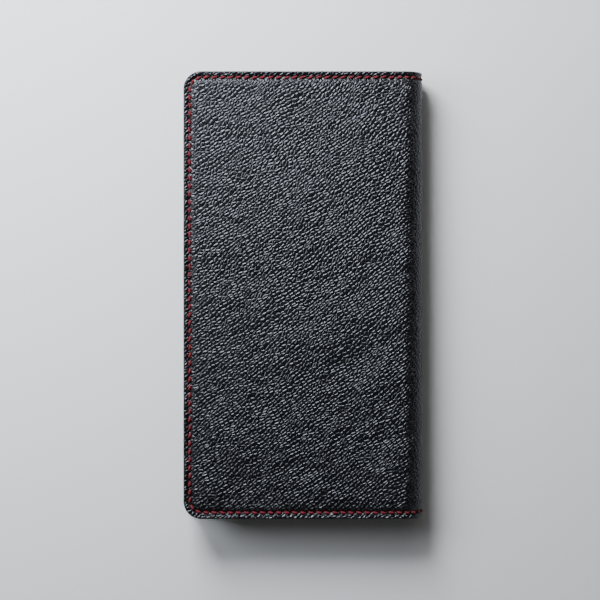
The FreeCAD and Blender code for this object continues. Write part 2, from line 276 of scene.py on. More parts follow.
def round_corners(run, along, inset=0.0):
    """Turns the square corners of a grid round. Gives the moved run and along, and the way in from the
    nearest edge that the point had on the grid."""
    radius = leather().corner_radius - inset
    from_left = np.minimum(run, WHOLE - run) - inset
    from_top = HALF_HEIGHT - inset - np.abs(along)
    edge = np.minimum(from_left, from_top)
    side = np.stack([radius - from_left, radius - from_top])
    level = np.maximum(side.max(axis=0), 1e-9)
    arc = np.maximum(radius - edge, 0)
    middle = level - arc
    out = side - middle
    in_corner = (out.min(axis=0) > 0) & (side.min(axis=0) > 0)
    length = np.maximum(np.hypot(out[0], out[1]), 1e-12)
    moved = middle + out / length * arc
    shift_left = np.where(in_corner, moved[0] - side[0], 0)
    shift_top = np.where(in_corner, moved[1] - side[1], 0)
    run = run - np.where(run < WHOLE / 2, shift_left, -shift_left)
    along = along + np.sign(along) * shift_top
    return run, along, edge


def spaced(start, stop, step):
    """Even stations from start to stop, about step apart."""
    count = max(1, round(abs(stop - start) / step))
    return list(np.linspace(start, stop, count + 1))


def margin_stations(width):
    """Distances from an edge, close together at the rim and in the groove."""
    rim_and_band = (0.0, 0.1, 0.28, 0.55, 0.95, 1.4, 1.8)
    groove_and_rise = (2.1, 2.35, 2.6, 2.85, 3.15, 3.5, 3.95, 4.5, 5.2, 6.1, 7.0)
    shares = rim_and_band + groove_and_rise
    return [share * MM for share in shares if share * MM < width - 0.3 * MM]


# ---- the seam's path: from the middle of the opening edge, round a corner, to the spine ----


def seam_radius():
    return leather().corner_radius - leather().seam_inset


def side_length():
    """Half of the straight stretch of the seam at the opening edge."""
    return HALF_HEIGHT - leather().corner_radius


def bend_length():
    """The seam's way round one corner."""
    return seam_radius() * math.pi / 2


def seam_length():
    """From the middle of the opening edge to the start of the fold."""
    return side_length() + bend_length() + FLAT - leather().corner_radius


def pitch():
    """The stitch pitch, a little under 3.4 mm, that brings a hole to the start of the fold."""
    return seam_length() / round(seam_length() / (3.38 * MM))


def fold_pitch():
    """Two stitches to each segment of the fold."""
    return ARC / (2 * SEGMENTS)


def around(travel, inset):
    """Run, along and outward direction on the path that lies inset from the edge, by the travel along
    the seam from the middle of the opening edge; negative travel goes round the lower corner."""
    sign = 1.0 if travel >= 0 else -1.0
    travel = abs(travel)
    corner = leather().corner_radius
    bend = bend_length()
    if travel <= side_length():
        return inset, sign * travel, (-1.0, 0.0)
    if travel <= side_length() + bend:
        angle = (travel - side_length()) / seam_radius()
        out = (-math.cos(angle), math.sin(angle))
        run = corner + out[0] * (corner - inset)
        along = HALF_HEIGHT - corner + out[1] * (corner - inset)
        return run, sign * along, (out[0], sign * out[1])
    run = corner + travel - side_length() - bend
    return run, sign * (HALF_HEIGHT - inset), (0.0, sign)


def seam_travel(run, along):
    """The travel along the seam nearest to points of one cover, run counted from its opening edge."""
    corner = leather().corner_radius
    bend = bend_length()
    over = corner - run
    up = np.abs(along) - side_length()
    angle = np.arctan2(np.maximum(up, 0), np.maximum(over, 1e-9))
    in_corner = (up > 0) & (over > 0)
    on_side = (up <= 0) | (in_corner & (angle < 0))
    straight = side_length() + bend + run - corner
    travel = np.where(in_corner, side_length() + angle * seam_radius(), straight)
    return np.where(on_side & (over > 0), np.abs(along), travel)


def hole_share(run, along):
    """1 at a stitch hole of the seam and 0 half-way between two holes."""
    from_edge = np.minimum(run, WHOLE - run)
    travel = seam_travel(from_edge, along)
    on_fold = from_edge > FLAT
    phase = np.where(on_fold, (from_edge - FLAT) / fold_pitch(), travel / pitch())
    return 0.5 + 0.5 * np.cos(2 * np.pi * phase)


# ---- modelling helpers ----


def deselect():
    if bpy.context.object and bpy.context.object.mode != "OBJECT":
        bpy.ops.object.mode_set(mode="OBJECT")
    bpy.ops.object.select_all(action="DESELECT")


def make_slab(name, columns, rows):
    """A grid of cells, extruded into a closed slab, with each vertex's column and row on the grid and
    whether it is on the under face."""
    deselect()
    bpy.ops.mesh.primitive_grid_add(x_subdivisions=columns, y_subdivisions=rows, size=1)
    piece = bpy.context.object
    piece.name = piece.data.name = name
    bpy.ops.object.mode_set(mode="EDIT")
    bpy.ops.mesh.select_all(action="SELECT")
    bpy.ops.mesh.extrude_region_move(TRANSFORM_OT_translate={"value": (0, 0, -1)})
    bpy.ops.mesh.select_all(action="SELECT")
    bpy.ops.mesh.normals_make_consistent(inside=False)
    bpy.ops.object.mode_set(mode="OBJECT")
    x, y, z = vertex_places(piece.data).T
    column = np.rint((x + 0.5) * columns).astype(int)
    row = np.rint((y + 0.5) * rows).astype(int)
    return piece, column, row, z < -0.5


def vertex_places(mesh):
    places = np.empty(len(mesh.vertices) * 3)
    mesh.vertices.foreach_get("co", places)
    return places.reshape(-1, 3)


def put_vertices(mesh, x, y, z):
    mesh.vertices.foreach_set("co", np.stack([x, y, z], axis=1).ravel())
    mesh.update()


def store_point_value(mesh, name, values):
    attribute = mesh.attributes.new(name, "FLOAT", "POINT")
    attribute.data.foreach_set("value", np.asarray(values, np.float32))


def store_hide_map(mesh, across, along):
    """A UV map in metres over the flat hide, so that the grain follows the leather round the fold."""
    corners = np.empty(len(mesh.loops), np.int32)
    mesh.loops.foreach_get("vertex_index", corners)
    layer = mesh.uv_layers.new(name="Hide")
    layer.data.foreach_set("uv", np.stack([across[corners], along[corners]], axis=1).ravel())
    layer.active_render = True


def turn_outwards(piece):
    """Recalculates the normals of a closed mesh so that its faces point outwards."""
    mesh = bmesh.new()
    mesh.from_mesh(piece.data)
    bmesh.ops.recalc_face_normals(mesh, faces=mesh.faces)
    if mesh.calc_volume(signed=True) < 0:
        bmesh.ops.reverse_faces(mesh, faces=mesh.faces)
    mesh.to_mesh(piece.data)
    mesh.free()
    piece.data.update()


def shade_smooth(piece, degrees=50):
    deselect()
    piece.select_set(True)
    bpy.context.view_layer.objects.active = piece
    bpy.ops.object.shade_smooth_by_angle(angle=math.radians(degrees))
    piece.select_set(False)


def lay_leather(name, runs, alongs, outside, inside, inset=0.0, shift=None):
    """A sheet of leather on these grid stations. outside and inside give the depth of its two faces from
    the run, the along and the way in from the edge; shift may move a point's run and along."""
    piece, column, row, under = make_slab(name, len(runs) - 1, len(alongs) - 1)
    run, along = np.asarray(runs)[column], np.asarray(alongs)[row]
    flat_run = run.copy()
    if shift:
        run, along = shift(run, along)
    run, along, edge = round_corners(run, along, inset)
    depth = np.where(under, inside(run, along, edge), outside(run, along, edge))
    x, z = section(run, depth)
    put_vertices(piece.data, x, along, z)
    store_hide_map(piece.data, WHOLE - run, along)
    store_point_value(piece.data, "edge", edge)
    turn_outwards(piece)
    shade_smooth(piece)
    return piece, flat_run


def rim(edge, radius):
    """How far a face of this rounding draws back at the rim."""
    t = np.clip(1 - edge / radius, 0, 1)
    return radius * (1 - np.sqrt(np.maximum(1 - t * t, 0)))


def grain_wave(run, along):
    """Slow unevenness of a hand-made cover, a few hundredths of a millimetre."""
    waves = (
        np.sin(along * 71 + run * 33 + 0.6)
        + 0.7 * np.sin(run * 127 - along * 45 + 2.1)
        + 0.5 * np.sin(along * 163 + run * 97 + 4.0)
    )
    return waves * 0.012 * MM


# ---- stations of the grids ----


def along_stations(inset=0.0, step_share=0.25):
    """Stations over the height: fine in both margins, a share of the stitch pitch apart between them."""
    corner = leather().corner_radius
    margin = [HALF_HEIGHT - inset - d for d in margin_stations(corner - inset)]
    step = pitch() * step_share
    steps = int((side_length() - 0.2 * MM) / step)
    inner = [k * step for k in range(-steps, steps + 1)]
    return [-a for a in margin] + inner + margin[::-1]


def left_stations(inset=0.0):
    """Stations of the margin at the opening edge, counted from that edge."""
    return [inset + d for d in margin_stations(leather().corner_radius - inset)]


def top_start():
    """The first stitch hole on the straight top seam, counted from the opening edge."""
    corner = leather().corner_radius
    past = side_length() + bend_length()
    first = math.ceil(past / pitch()) * pitch()
    return corner + first - past


def flat_stations(inset=0.0, step_share=0.25):
    """Stations over a whole flat cover, from its opening edge to the fold."""
    count = round((FLAT - top_start()) / (pitch() * step_share))
    return left_stations(inset) + list(np.linspace(top_start(), FLAT, count + 1))


def fold_stations(first, last, per_stitch=8):
    """Stations on the fold from one segment border to another, counted in segments."""
    count = round((last - first) * 2 * per_stitch)
    return list(FLAT + np.linspace(first, last, count + 1) * ARC / SEGMENTS)


def mirrored(stations):
    return [WHOLE - s for s in reversed(stations)]


def quarter_stations(inset=0.0, step_share=0.25, per_stitch=8):
    """The four stretches that the hide is cut into, at the middles of the spine's three segments."""
    rear = flat_stations(inset, step_share) + fold_stations(0, 1, per_stitch)[1:]
    return [rear, fold_stations(1, 2, per_stitch), fold_stations(2, 3, per_stitch), mirrored(rear)]


def bend_over(piece, stretch):
    """Bakes a piece's placement into its mesh; it works out the fold's points at the two borders of its
    stretch but does not use them, so the piece is neither bent between the bodies nor tied to them.
    """
    for border in (stretch, stretch + 1):
        x, z = section(np.array(FLAT + border * ARC / SEGMENTS), 0.0)
    BODIES[stretch + 1]
    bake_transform(piece)


# ---- shader writing ----


class Socket:
    """A shader value that Python's operators act on, each adding its Math node."""

    def __init__(self, tree, socket):
        self.tree = tree
        self.socket = socket

    def math(self, operation, *others):
        values = {f"_{slot}": value for slot, value in enumerate((self, *others))}
        return add_node(self.tree, "Math", {"operation": operation}, **values)

    def __add__(self, other):
        return self.math("ADD", other)

    __radd__ = __add__

    def __mul__(self, other):
        return self.math("MULTIPLY", other)

    __rmul__ = __mul__

    def __sub__(self, other):
        return self.math("SUBTRACT", other)

    def __rsub__(self, other):
        return (self * -1.0) + other

    def between(self, low, high):
        """0 up to low, 1 from high, smoothly."""
        kind = {"interpolation_type": "SMOOTHSTEP"}
        return add_node(
            self.tree, "MapRange", kind, out="Result", Value=self, From_Min=low, From_Max=high
        )


def plug(tree, value, slot):
    if isinstance(value, Socket):
        tree.links.new(value.socket, slot)
    else:
        slot.default_value = value


def add_node(tree, kind, settings=(), out=0, **values):
    """A node of a type: its settings first, then the values or links of its sockets, each told by its
    name or, after an underscore, by its number."""
    node = tree.nodes.new(f"ShaderNode{kind}")
    for key, value in dict(settings).items():
        setattr(node, key, value)
    for key, value in values.items():
        slot = node.inputs[int(key[1:])] if key[0] == "_" else node.inputs[key.replace("_", " ")]
        plug(tree, value, slot)
    return Socket(tree, node.outputs[out])


class Shader:
    """One material and the nodes behind it."""

    def __init__(self, name):
        self.material = bpy.data.materials.new(name)
        self.material.use_nodes = True
        self.tree = self.material.node_tree
        self.tree.nodes.clear()
        self.surface = self.tree.nodes.new("ShaderNodeBsdfPrincipled")
        output = self.tree.nodes.new("ShaderNodeOutputMaterial")
        self.tree.links.new(self.surface.outputs[0], output.inputs["Surface"])

    def node(self, kind, settings=(), out=0, **values):
        return add_node(self.tree, kind, settings, out, **values)

    def map(self, name="Hide"):
        return self.node("UVMap", {"uv_map": name})

    def place(self):
        return self.node("TexCoord", out="Object")

    def value_of(self, attribute):
        return self.node("Attribute", {"attribute_name": attribute}, out="Fac")

    def mapping(self, vector, location=(0, 0, 0), rotation=(0, 0, 0), scale=(1, 1, 1)):
        return self.node("Mapping", Vector=vector, Location=location, Rotation=rotation, Scale=scale)

    def noise(self, vector, scale, detail=2.0, rough=0.5, out="Fac"):
        """A noise of this many waves to the metre in each direction."""
        spot = self.mapping(vector, scale=scale)
        return self.node("TexNoise", out=out, Vector=spot, Scale=1.0, Detail=detail, Roughness=rough)

    def cells(self, vector, scale, feature="F1", jitter=1.0, out="Distance"):
        settings = {"voronoi_dimensions": "2D", "feature": feature}
        return self.node("TexVoronoi", settings, out=out, Vector=vector, Scale=scale, Randomness=jitter)

    def mix(self, share, first, second):
        settings = {"data_type": "RGBA", "clamp_factor": True}
        return self.node("Mix", settings, out=2, _0=share, _6=colour4(first), _7=colour4(second))

    def shift(self, vector, by, amount):
        """A vector moved by a noise colour, centred on no movement."""
        centred = self.node("VectorMath", {"operation": "SUBTRACT"}, _0=by, _1=(0.5, 0.5, 0.5))
        scaled = self.node("VectorMath", {"operation": "SCALE"}, _0=centred, Scale=amount)
        return self.node("VectorMath", {"operation": "ADD"}, _0=vector, _1=scaled)

    def bump(self, height, distance, strength=1.0):
        return self.node("Bump", Height=height, Distance=distance, Strength=strength)

    def finish(self, colour, roughness, normal=None, **constants):
        plug(self.tree, colour, self.surface.inputs["Base Color"])
        plug(self.tree, roughness, self.surface.inputs["Roughness"])
        if normal is not None:
            plug(self.tree, normal, self.surface.inputs["Normal"])
        for key, value in constants.items():
            self.surface.inputs[key.replace("_", " ")].default_value = value
        return self.material


def colour4(value):
    return value if isinstance(value, Socket) else (*value[:3], 1.0)


def toned(colour, share):
    return tuple(channel * share for channel in colour)


def known_material(name, make):
    return bpy.data.materials.get(name) or make(name)


def pebbled_hide(name):
    """Drum-dyed hide with a strong pebble that runs in slanting chains, painted shade in the pebble valleys
    and along the seam groove, and painted edges.
    """
    s = Shader(name)
    hide = s.map()
    drift = s.noise(hide, (45, 45, 45), 2.0, out="Color")
    flowing = s.shift(hide, drift, 6.0 * MM)
    wobble = s.noise(hide, (300, 300, 300), 1.0, out="Color")
    flowing = s.shift(flowing, wobble, 1.2 * MM)
    chains = s.mapping(flowing, rotation=(0, 0, math.radians(-36)))
    pebble = s.mapping(chains, scale=(1 / (1.9 * MM), 1 / (1.35 * MM), 1))
    valley = s.cells(pebble, 1.0, "DISTANCE_TO_EDGE", 0.7).between(0.0, 0.34)
    ridge = s.noise(chains, (190, 520, 1), 1.0, 0.5).between(0.35, 0.65)
    pores = s.noise(chains, (1500, 2000, 1), 2.0)
    height = valley * 0.8 + ridge * 0.3 + pores * 0.12
    edge = s.value_of("edge")
    paint = 1 - edge.between(0.12 * MM, 0.45 * MM)
    normal = s.bump(height * (1 - paint * 0.9), 0.24 * MM)
    slow = s.noise(hide, (18, 18, 18), 3.0)
    dye = leather().hide_colour
    # painted shade: the pebble valleys are darkened towards a twentieth of the dye colour, where shade falls
    # between the pebbles
    dyed = s.mix(valley.between(0.1, 0.7), toned(dye, 0.05), dye)
    rubbed = s.mix(slow.between(0.35, 0.75) * 0.5, dyed, toned(dye, 1.4))
    # painted shade: the hide is darkened along the groove that the thread lies in
    groove = 1 - (edge - leather().seam_inset).math("ABSOLUTE").between(0.2 * MM, 1.0 * MM)
    groove_shaded = s.mix(groove * 0.6, rubbed, toned(dye, 0.3))
    colour = s.mix(paint, groove_shaded, leather().edge_colour)
    roughness = (0.33 - valley * 0.02 + slow * 0.08) * (1 - paint) + paint * 0.85
    return s.finish(colour, roughness, normal, Specular_IOR_Level=0.42, Specular_Tint=SHEEN_TINT)


def lining_hide(name):
    """Thin smooth lining leather with a fine grain and faint stretch lines."""
    s = Shader(name)
    hide = s.map()
    cells = s.mapping(hide, scale=(1 / (0.8 * MM), 1 / (0.7 * MM), 1))
    grain = s.cells(cells, 1.0, "DISTANCE_TO_EDGE").between(0.0, 0.35)
    pores = s.noise(hide, (3000, 3000, 1), 2.0)
    lines = s.noise(hide, (40, 400, 1), 4.0, 0.6)
    height = grain * 0.5 + pores * 0.3 + lines * 0.4
    paint = 1 - s.value_of("edge").between(0.1 * MM, 0.4 * MM)
    normal = s.bump(height * (1 - paint), 0.11 * MM)
    slow = s.noise(hide, (25, 25, 25), 3.0)
    base = leather().lining_colour
    worn = s.mix(slow.between(0.3, 0.75), toned(base, 0.7), toned(base, 1.35))
    colour = s.mix(paint, worn, leather().edge_colour)
    roughness = 0.52 + slow * 0.16 - grain * 0.06
    return s.finish(colour, roughness, normal, Specular_IOR_Level=0.3)


def pocket_hide(name):
    """Smooth pocket leather with a fine, even grain and painted shade in its creases, darker and sealed at
    its painted edges.
    """
    s = Shader(name)
    hide = s.map()
    drift = s.shift(hide, s.noise(hide, (300, 300, 300), 2.0, out="Color"), 0.6 * MM)
    cells = s.mapping(drift, scale=(1 / (1.15 * MM), 1 / (0.95 * MM), 1))
    crease = s.cells(cells, 1.0, "DISTANCE_TO_EDGE").between(0.0, 0.26)
    crown = 1 - s.cells(cells, 1.0, "SMOOTH_F1").between(0.0, 0.9)
    pores = s.noise(hide, (3200, 3200, 1), 2.0)
    paint = 1 - s.value_of("edge").between(0.12 * MM, 0.42 * MM)
    height = (crease * 0.6 + crown * 0.3 + pores * 0.2) * (1 - paint)
    normal = s.bump(height, 0.2 * MM)
    slow = s.noise(hide, (22, 22, 22), 3.0)
    base = leather().pocket_colour
    worn = s.mix(slow.between(0.3, 0.75), toned(base, 0.75), toned(base, 1.25))
    # painted shade: the grain creases are darkened to half the pocket colour, where shade falls between the
    # cells
    crease_shaded = s.mix(crease * 0.8 + 0.2, toned(base, 0.5), worn)
    colour = s.mix(paint, crease_shaded, leather().edge_colour)
    roughness = (0.5 + slow * 0.12 - crease * 0.08) * (1 - paint) + paint * 0.7
    return s.finish(colour, roughness, normal, Specular_IOR_Level=0.32)


def waxed_thread(name):
    """Red waxed thread: three plies laid in a helix, with painted shade between the plies and where it
    enters a hole.
    """
    s = Shader(name)
    travel = s.node("SeparateXYZ", Vector=s.map("Thread"))
    turn = s.node("SeparateXYZ", out=1, Vector=s.map("Thread"))
    twist = ((travel * PLY_SHADES + turn) * (2 * math.pi)).math("SINE") * 0.5 + 0.5
    fuzz = s.noise(s.place(), (6000, 6000, 6000), 2.0)
    hole_shade = s.value_of("hole_shade")
    red = stitching().thread_colour
    # painted shade: dark lines between the plies of the helix
    ply_shaded = s.mix(twist, toned(red, 0.45), red)
    worn = s.mix(fuzz.between(0.45, 0.8) * 0.4, ply_shaded, tuple(min(1, c * 1.5 + 0.02) for c in red))
    # painted shade: the thread darkens to a fifth of its red where it dips into a stitch hole
    colour = s.mix(hole_shade, worn, toned(red, 0.2))
    normal = s.bump(twist * 0.8 + fuzz * 0.3, 0.12 * MM)
    return s.finish(colour, 0.6 + fuzz * 0.15, normal, Specular_IOR_Level=0.25)


def pressed_board(name):
    """Grey-brown fibre board."""
    s = Shader(name)
    fibres = s.noise(s.place(), (900, 300, 900), 4.0)
    colour = s.mix(fibres, (0.30, 0.24, 0.17), (0.50, 0.43, 0.33))
    return s.finish(colour, 0.85 + fibres * 0.1, s.bump(fibres, 0.05 * MM))


def use_material(piece, make, name):
    material = known_material(name, make)
    piece.data.materials.clear()
    piece.data.materials.append(material)


def stretch_nodes(rear, spine, front):
    """The pair of CAD nodes under each of the four stretches, from the rear cover to the front one."""
    row = (rear, *(f"{spine}_{number}" for number in range(1, SEGMENTS)), front)
    return list(zip(row, row[1:]))


# ---- pieces ----


def margin_depth(run, along, edge):
    """Depth of the outer leather's face: a rolled rim, a band, the groove with a pinch at each stitch
    hole, and the rise onto the padded panel."""
    sizes = leather()
    rim_depth = 0.15 * MM
    band = rim_depth + (sizes.margin_step - rim_depth) * smooth(0.4 * MM, 2.5 * MM, edge)
    rise = sizes.margin_step * (1 - smooth(2.6 * MM, 5.2 * MM, edge))
    pinch = hole_share(run, along) ** 2
    groove = sizes.groove * dome(sizes.seam_inset, 0.6 * MM, edge) * (0.4 + 0.8 * pinch)
    swell = -0.04 * MM * dome(7.5 * MM, 3.0 * MM, edge)
    slope = np.where(edge < 2.55 * MM, band, rise)
    return np.maximum(slope + groove + rim(edge, sizes.edge_radius) + swell + grain_wave(run, along), 0)


def leather_back(run, along, edge):
    """Depth of the outer leather's flesh side: against the board, or against the lining at the margin."""
    recess = smooth(BOARD_INSET - 0.5 * MM, BOARD_INSET + 0.3 * MM, edge)
    return LEATHER_INSIDE - 0.02 * MM - (LEATHER_INSIDE - BOARD_OUTSIDE) * recess


class WALLET_OT_outer_leather(bpy.types.Operator):
    """Lays the pebbled hide over both covers and round the spine"""

    bl_idname = "wallet.outer_leather"
    bl_label = "Outer leather"

    def execute(self, context):
        names = ("rear_leather", "spine_leather_lower", "spine_leather_upper", "front_leather")
        nodes = stretch_nodes("rear_outer_leather", "spine_leather", "front_outer_leather")
        for stretch, runs in enumerate(quarter_stations()):
            piece, _ = lay_leather(names[stretch], runs, along_stations(), margin_depth, leather_back)
            use_material(piece, pebbled_hide, "pebbled_hide")
            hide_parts(*nodes[stretch])
            bend_over(piece, stretch)
        return {"FINISHED"}


def lining_face(run, along, edge):
    """Depth of the lining's outer side, against the board or the leather."""
    return np.full_like(run, LEATHER_INSIDE)


def lining_inside(run, along, edge):
    return INNER_FACE - rim(edge, 0.3 * MM)


class WALLET_OT_lining(bpy.types.Operator):
    """Lays the lining inside the covers and round the spine"""

    bl_idname = "wallet.lining"
    bl_label = "Lining"

    def execute(self, context):
        names = (
            "rear_lining_leather",
            "spine_lining_lower",
            "spine_lining_upper",
            "front_lining_leather",
        )
        nodes = stretch_nodes("rear_lining", "spine_lining", "front_lining")
        for stretch, runs in enumerate(quarter_stations(step_share=0.5, per_stitch=4)):
            alongs = along_stations(step_share=0.5)
            piece, _ = lay_leather(names[stretch], runs, alongs, lining_face, lining_inside)
            use_material(piece, lining_hide, "lining_hide")
            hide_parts(*nodes[stretch])
            bend_over(piece, stretch)
        return {"FINISHED"}


class WALLET_OT_spine_strip(bpy.types.Operator):
    """Lays the stiffening strip between the leather and the lining of the spine"""

    bl_idname = "wallet.spine_strip"
    bl_label = "Spine strip"

    def execute(self, context):
        names = ("spine_strip_rear", "spine_strip_lower", "spine_strip_upper", "spine_strip_front")
        nodes = stretch_nodes("rear_spine_reinforcement", "spine_reinforcement", "front_spine_reinforcement")
        reach = HALF_HEIGHT - BOARD_INSET
        alongs = spaced(-reach, reach, 6 * MM)

        def outside(run, along, edge):
            return BOARD_OUTSIDE + rim(reach - np.abs(along), 0.2 * MM)

        def inside(run, along, edge):
            return LEATHER_INSIDE - rim(reach - np.abs(along), 0.2 * MM)

        for stretch in range(SEGMENTS):
            runs = fold_stations(stretch, stretch + 1, 4)
            piece, _ = lay_leather(names[stretch], runs, alongs, outside, inside)
            use_material(piece, pressed_board, "pressed_board")
            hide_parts(*nodes[stretch])
            bend_over(piece, stretch)
        return {"FINISHED"}


class WALLET_OT_boards(bpy.types.Operator):
    """Gives the stiffening boards their fibres"""

    bl_idname = "wallet.boards"
    bl_label = "Boards"

    def execute(self, context):
        board = known_material("pressed_board", pressed_board)
        for name in ("rear_board", "front_board"):
            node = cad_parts[name]
            node.data.materials.clear()
            node.data.materials.append(board)
        return {"FINISHED"}


# ---- the phone pocket ----


def gusset_section():
    """Inset and height of the gusset's middle line: an outward channel with rounded folds."""
    low = INNER_FACE + GUSSET_LEATHER / 2
    high = GUSSET_TOP - GUSSET_LEATHER / 2
    wall = GUSSET_WALL
    bend = 1.7 * MM
    line = [(d, low) for d in spaced(0.0, wall - bend, 0.4 * MM)]
    quarter = np.linspace(0, math.pi / 2, 8)[1:]
    line += [(wall - bend + bend * math.sin(a), low + bend - bend * math.cos(a)) for a in quarter]
    line += [(wall, z) for z in spaced(low + bend, high - bend, 0.7 * MM)[1:]]
    line += [(wall - bend + bend * math.cos(a), high - bend + bend * math.sin(a)) for a in quarter]
    line += [(d, high) for d in spaced(wall - bend, 0.0, 0.4 * MM)[1:]]
    return np.array(line)


class WALLET_OT_phone_gusset(bpy.types.Operator):
    """Folds the gusset round three sides of the phone pocket"""

    bl_idname = "wallet.phone_gusset"
    bl_label = "Phone gusset"

    def execute(self, context):
        line = gusset_section()
        tangent = np.gradient(line, axis=0)
        tangent /= np.linalg.norm(tangent, axis=1)[:, None]
        normal = np.stack([-tangent[:, 1], tangent[:, 0]], axis=1)
        end = seam_length() - FLAT + GUSSET_REACH
        travels = np.array([-t for t in gusset_travels(end)][::-1] + gusset_travels(end)[1:])
        size = (len(line) - 1, len(travels) - 1)
        piece, column, row, under = make_slab("phone_gusset_leather", *size)
        side = np.where(under, -0.5, 0.5) * GUSSET_LEATHER
        point = line[column] + normal[column] * side[:, None]
        sway = 0.22 * MM * np.sin(travels[row] * 210 + 0.8) * dome(0.5, 0.3, column / size[0])
        inset = point[:, 0] + sway
        corner_fold = np.array([seam_bend_share(t) for t in travels])[row]
        inset = inset - 0.35 * MM * corner_fold * dome(0.5, 0.25, column / size[0])
        skeleton = np.array([around(t, leather().corner_radius)[:2] for t in travels])[row]
        outward = np.array([around(t, 0.0)[2] for t in travels])[row]
        reach = (leather().corner_radius - inset)[:, None]
        flat = skeleton + outward * reach
        put_vertices(piece.data, flat[:, 0] - HALF_WIDTH, flat[:, 1], point[:, 1])
        store_hide_map(piece.data, travels[row], np.cumsum(line_steps(line))[column])
        store_point_value(piece.data, "edge", np.minimum(inset, 20 * MM))
        turn_outwards(piece)
        shade_smooth(piece)
        use_material(piece, pocket_hide, "pocket_hide")
        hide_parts("phone_gusset")
        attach(piece, "rear_cover")
        return {"FINISHED"}


def line_steps(line):
    return np.concatenate([[0.0], np.hypot(*np.diff(line, axis=0).T)])


def seam_bend_share(travel):
    """1 in the middle of a corner of the seam, 0 on its straight sides."""
    middle = side_length() + seam_radius() * math.pi / 4
    return float(dome(middle, 2.4 * MM, abs(travel)))


def gusset_travels(end):
    """Stations along half of the gusset's path."""
    bend = bend_length()
    straight = spaced(0, side_length(), 1.7 * MM)
    corner = spaced(side_length(), side_length() + bend, 0.6 * MM)[1:]
    return straight + corner + spaced(side_length() + bend, end, 1.7 * MM)[1:]


def notch_edge(along):
    """Run and along of the pocket's mouth for a row of the panel: a half-round thumb notch whose
    shoulders are rounded where it meets the straight edge."""
    radius, shoulder = NOTCH_RADIUS, 3 * MM
    reach = math.sqrt((radius + shoulder) ** 2 - shoulder**2)
    turn = math.atan2(reach, shoulder)
    travel = np.minimum(np.abs(along) / reach, 1) * (radius + shoulder) * turn
    angle = np.minimum(travel / radius, turn)
    run = -radius * np.cos(angle)
    side = radius * np.sin(angle)
    back = np.clip((travel - radius * turn) / shoulder, 0, turn)
    on_shoulder = travel > radius * turn
    run = np.where(on_shoulder, -shoulder + shoulder * np.cos(turn - back), run)
    side = np.where(on_shoulder, reach - shoulder * np.sin(turn - back), side)
    outside = np.abs(along) >= reach
    run = np.where(outside, 0.0, run)
    side = np.where(outside, np.abs(along), side)
    return POCKET_REACH + run, np.sign(along) * side


def mouth_stations():
    """Distances from a mouth edge, close together at its rim and creased line."""
    shares = (0.0, 0.08, 0.25, 0.5, 0.85, 1.15, 1.4, 1.65, 2.0, 2.6, 3.4, 4.4)
    return [share * MM for share in shares]


def mouth_relief(from_mouth, radius, crease):
    """How far a face draws back near a mouth edge: its rounded rim and a creased line."""
    return rim(from_mouth, radius) + crease * dome(1.4 * MM, 0.24 * MM, from_mouth)


class WALLET_OT_phone_pocket(bpy.types.Operator):
    """Lays the front panel of the phone pocket, with its thumb notch"""

    bl_idname = "wallet.phone_pocket"
    bl_label = "Phone pocket"

    def execute(self, context):
        reach = POCKET_REACH
        mouth = [reach - d for d in mouth_stations()][::-1]
        middle = spaced(top_start(), mouth[0], 1.3 * MM)
        runs = left_stations() + middle + mouth[1:]
        fine = list(np.linspace(0, 14 * MM, 30))
        half = fine + spaced(14 * MM, side_length(), 1.7 * MM)[1:]
        top = [HALF_HEIGHT - d for d in margin_stations(leather().corner_radius)][::-1]
        half = half + [a for a in top if a > half[-1] + 0.1 * MM]
        alongs = [-a for a in half][::-1] + half[1:]
        from_mouth = {}

        def cut_notch(run, along):
            edge_run, edge_along = notch_edge(along)
            pull = smooth(reach - 30 * MM, reach, run)
            near = np.clip((run - (reach - 30 * MM)) / (30 * MM), 0, 1)
            from_mouth["way"] = reach - run
            moved = run + (edge_run - reach) * near
            return moved, along + (edge_along - along) * pull

        def lower(run, along, edge):
            return GUSSET_TOP + rim(from_mouth["way"], 0.3 * MM) + rim(edge, 0.3 * MM)

        def upper(run, along, edge):
            seam = 0.28 * MM * dome(leather().seam_inset, 0.6 * MM, edge)
            relief = mouth_relief(from_mouth["way"], 0.38 * MM, 0.14 * MM) + rim(edge, 0.4 * MM)
            return POCKET_TOP - seam - relief - grain_wave(run * 1.3, along)

        piece, _ = lay_leather("phone_pocket_leather", runs, alongs, lower, upper, shift=cut_notch)
        trim_edge_value(piece, from_mouth["way"])
        use_material(piece, pocket_hide, "pocket_hide")
        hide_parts("phone_pocket_panel")
        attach(piece, "rear_cover")
        return {"FINISHED"}


def trim_edge_value(piece, from_mouth):
    """Counts the mouth as an edge too, for the edge paint."""
    values = np.empty(len(piece.data.vertices), np.float32)
    edge = piece.data.attributes["edge"]
    edge.data.foreach_get("value", values)
    edge.data.foreach_set("value", np.minimum(values, from_mouth).astype(np.float32))


# ---- the card pockets ----


def card_level(number, reach, along):
    """How far strip number (from 1, nearest the cover) lies off the base panel at this reach."""
    centre = np.zeros_like(reach)
    for below in range(number - 1):
        foot = STRIP_FOOT[below]
        centre = centre + smooth(foot - 1.6 * MM, foot + 0.4 * MM, reach)
    margin = np.zeros_like(reach)
    if number > 1:
        over = STRIP_REACH[number - 2] - TAB_DEPTH
        margin = smooth(over - 2.2 * MM, over - 0.3 * MM, reach)
    inwards = smooth(3.0 * MM, BOARD_INSET, HALF_HEIGHT - np.abs(along))
    return STRIP_THICKNESS * (margin * (1 - inwards) + centre * inwards)


def card_surface(reach, along):
    """Depth of the face that shows on the front cover's inside at this reach."""
    depth = np.where(reach < BASE_REACH, CARD_FACE, INNER_FACE)
    for number in range(1, CARD_STRIPS + 1):
        top = CARD_FACE + card_level(number, reach, along) + STRIP_THICKNESS
        depth = np.where(reach < STRIP_REACH[number - 1], np.maximum(depth, top), depth)
    return depth


